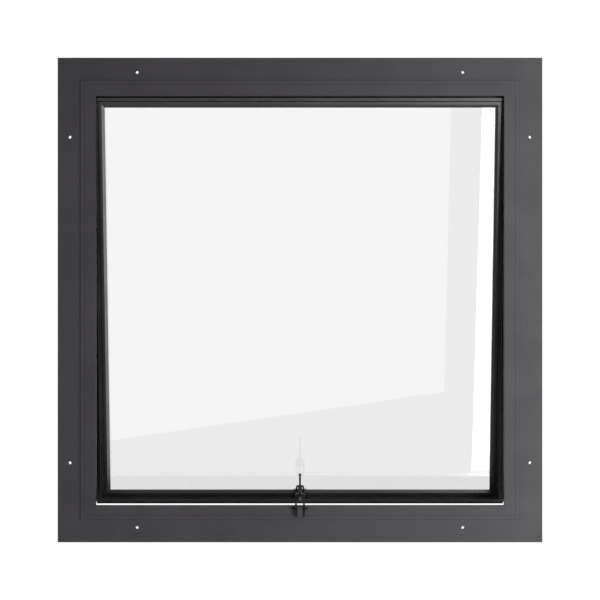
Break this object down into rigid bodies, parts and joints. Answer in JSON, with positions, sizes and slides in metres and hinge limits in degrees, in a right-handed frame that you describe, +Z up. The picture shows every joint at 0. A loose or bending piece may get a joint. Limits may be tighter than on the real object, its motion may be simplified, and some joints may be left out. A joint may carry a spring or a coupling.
{
  "type": "window sash with crank",
  "caption": "Square top-hung window: flanged dark frame, outward-opening glazed sash, side stays and a small crank-and-screw opener at the sill.",
  "frame": {"origin": "middle of the back face of the flange below the sill, where the window bears on the wall", "axes": "+Z up, +Y outdoors (the way the flange's back faces), +X to the right seen from the room"},
  "size_m": [0.714, 0.1696, 0.714],
  "materials": {
    "frame_coating": "satin anthracite powder coat on aluminium",
    "sash_coating": "satin near-black powder coat on aluminium",
    "black_rubber": "matt extruded seal",
    "clear_glass": "clear float glass",
    "black_plastic": "moulded nylon",
    "stainless_steel": "brushed stainless",
    "black_steel": "blackened steel, lightly polished at the hub",
    "bare_steel": "turned and threaded steel"
  },
  "bodies": {
    "sash": {"bead_bottom": "sash_coating", "bead_left": "sash_coating", "bead_right": "sash_coating", "bead_top": "sash_coating", "glass_pane": "clear_glass", "glazing_seal_outdoor_side": "black_rubber", "glazing_seal_room_side": "black_rubber", "hinge_left_sash_leaf": "stainless_steel", "hinge_left_sash_screw_1": "stainless_steel", "hinge_left_sash_screw_2": "stainless_steel", "hinge_right_sash_leaf": "stainless_steel", "hinge_right_sash_screw_1": "stainless_steel", "hinge_right_sash_screw_2": "stainless_steel", "sash_bottom_rail": "sash_coating", "sash_bracket": "black_steel", "sash_bracket_screw_left": "black_steel", "sash_bracket_screw_right": "black_steel", "sash_drip_seal": "black_rubber", "sash_left_stile": "sash_coating", "sash_right_stile": "sash_coating", "sash_top_rail": "sash_coating", "setting_block_left": "black_plastic", "setting_block_right": "black_plastic", "stay_track_left": "stainless_steel", "stay_track_right": "stainless_steel"},
    "frame": {"corner_cleat_bottom_left": "bare_steel", "corner_cleat_bottom_right": "bare_steel", "corner_cleat_top_left": "bare_steel", "corner_cleat_top_right": "bare_steel", "frame_head": "frame_coating", "frame_jamb_left": "frame_coating", "frame_jamb_right": "frame_coating", "frame_sill": "frame_coating", "hinge_left_frame_leaf": "stainless_steel", "hinge_left_frame_screw_1": "stainless_steel", "hinge_left_frame_screw_2": "stainless_steel", "hinge_left_pin": "stainless_steel", "hinge_right_frame_leaf": "stainless_steel", "hinge_right_frame_screw_1": "stainless_steel", "hinge_right_frame_screw_2": "stainless_steel", "hinge_right_pin": "stainless_steel", "operator_mount_block": "frame_coating", "operator_yoke": "black_steel", "operator_yoke_pin": "black_steel", "stay_bracket_left": "stainless_steel", "stay_bracket_right": "stainless_steel", "weather_seal_head": "black_rubber", "weather_seal_left": "black_rubber", "weather_seal_right": "black_rubber", "weather_seal_sill": "black_rubber"},
    "crank": {"crank_arm": "black_steel", "crank_nut": "black_steel"},
    "crank_grip": {"crank_grip": "black_steel"},
    "spindle": {"spindle_eye": "black_steel", "spindle_eye_pin": "bare_steel", "spindle_rod": "sash_coating"},
    "stay_left": {"stay_arm_left": "stainless_steel", "stay_roller_left": "black_plastic"},
    "stay_right": {"stay_arm_right": "stainless_steel", "stay_roller_right": "black_plastic"}
  },
  "joints": [
    {"name": "sash_tilt", "type": "hinge", "parent": "frame", "child": "sash", "pos_m": [0, 0.0425, 0.659], "axis": [1, 0, 0], "range_deg": [-7, 3]},
    {"name": "spindle_slide", "type": "slide", "parent": "frame", "child": "spindle", "axis": [0, 1, 0], "range_m": [-0.07473, 0.03214]},
    {"name": "crank_spin", "type": "hinge", "parent": "frame", "child": "crank", "pos_m": [0, -0.0335, 0.051], "axis": [0, 1, 0], "range_deg": [-1439.3, 3355.7]},
    {"name": "crank_grip_spin", "type": "hinge", "parent": "crank", "child": "crank_grip", "pos_m": [0, -0.0455, 0.0859], "axis": [0, 1, 0], "continuous": true},
    {"name": "stay_left_swing", "type": "hinge", "parent": "frame", "child": "stay_left", "pos_m": [-0.3114, 0.0125, 0.519], "axis": [1, 0, 0], "range_deg": [-15.85, 6.85]},
    {"name": "stay_right_swing", "type": "hinge", "parent": "frame", "child": "stay_right", "pos_m": [0.3114, 0.0125, 0.519], "axis": [1, 0, 0], "range_deg": [-15.85, 6.85]}
  ],
  "couplings": [
    {"joint": "spindle_slide", "follows": "sash_tilt", "m_per_rad": 0.61},
    {"joint": "crank_spin", "follows": "sash_tilt", "ratio": -479.09},
    {"joint": "stay_left_swing", "follows": "sash_tilt", "ratio": 2.255},
    {"joint": "stay_right_swing", "follows": "sash_tilt", "ratio": 2.255}
  ]
}
